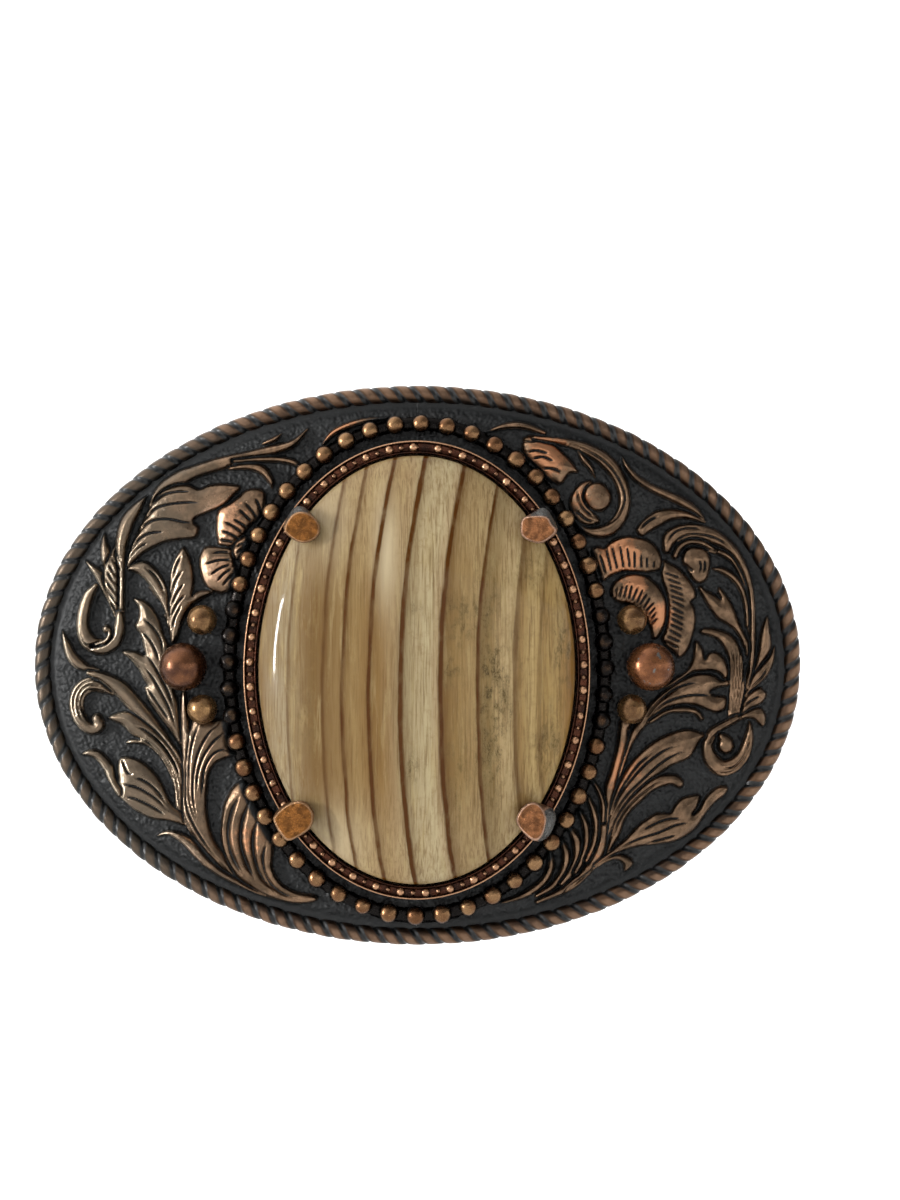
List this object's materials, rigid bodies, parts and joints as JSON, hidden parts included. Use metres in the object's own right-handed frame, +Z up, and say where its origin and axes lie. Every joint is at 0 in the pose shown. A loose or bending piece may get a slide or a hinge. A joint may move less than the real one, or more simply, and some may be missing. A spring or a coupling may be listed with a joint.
{
  "type": "oval western dress belt buckle",
  "caption": "Domed oval belt buckle with a claw-set cabochon, rope edge, bead border and ball studs; a swinging bail and a fixed hook on its back hold the strap.",
  "frame": {"origin": "the middle of the plate's back, where the buckle lies against the belt", "axes": "+X along the belt, to the right seen from the face; +Y out of the back, towards the wearer; +Z up as worn"},
  "size_m": [0.098, 0.0239, 0.0708],
  "materials": {
    "face_plate": "cast, blackened in the field, copper brown on the relief",
    "rope_border": "aged copper with dark grooves",
    "bead_border": "dark bronze, rubbed to copper on the crowns",
    "large_ball_left": "polished dark red copper",
    "large_ball_right": "bright satin copper",
    "small_balls": "rubbed copper",
    "setting_ring": "red brown bronze with bright edges",
    "claws": "rubbed copper",
    "stone": "polished, banded cream and brown",
    "stone_bed": "set bedding compound",
    "bail_wire": "dull bronze wire",
    "back_fittings": "dull bronze"
  },
  "bodies": {
    "buckle": {"face_plate": "face_plate", "rope_border": "rope_border", "bead_border": "bead_border", "large_ball_left": "large_ball_left", "small_ball_upper_left": "small_balls", "small_ball_lower_left": "small_balls", "large_ball_right": "large_ball_right", "small_ball_upper_right": "small_balls", "small_ball_lower_right": "small_balls", "setting_ring": "setting_ring", "claw_upper_left": "claws", "claw_upper_right": "claws", "claw_lower_left": "claws", "claw_lower_right": "claws", "cabochon_stone": "stone", "stone_bed": "stone_bed", "bail_lug_upper": "back_fittings", "bail_lug_lower": "back_fittings", "hook_base": "back_fittings", "belt_hook": "back_fittings"},
    "bail": {"belt_bail": "bail_wire"}
  },
  "joints": [
    {"name": "bail_swing", "type": "hinge", "parent": "buckle", "child": "bail", "pos_m": [0.021, 0.0057, 0], "axis": [0, 0, 1], "range_deg": [-4, 190]}
  ]
}
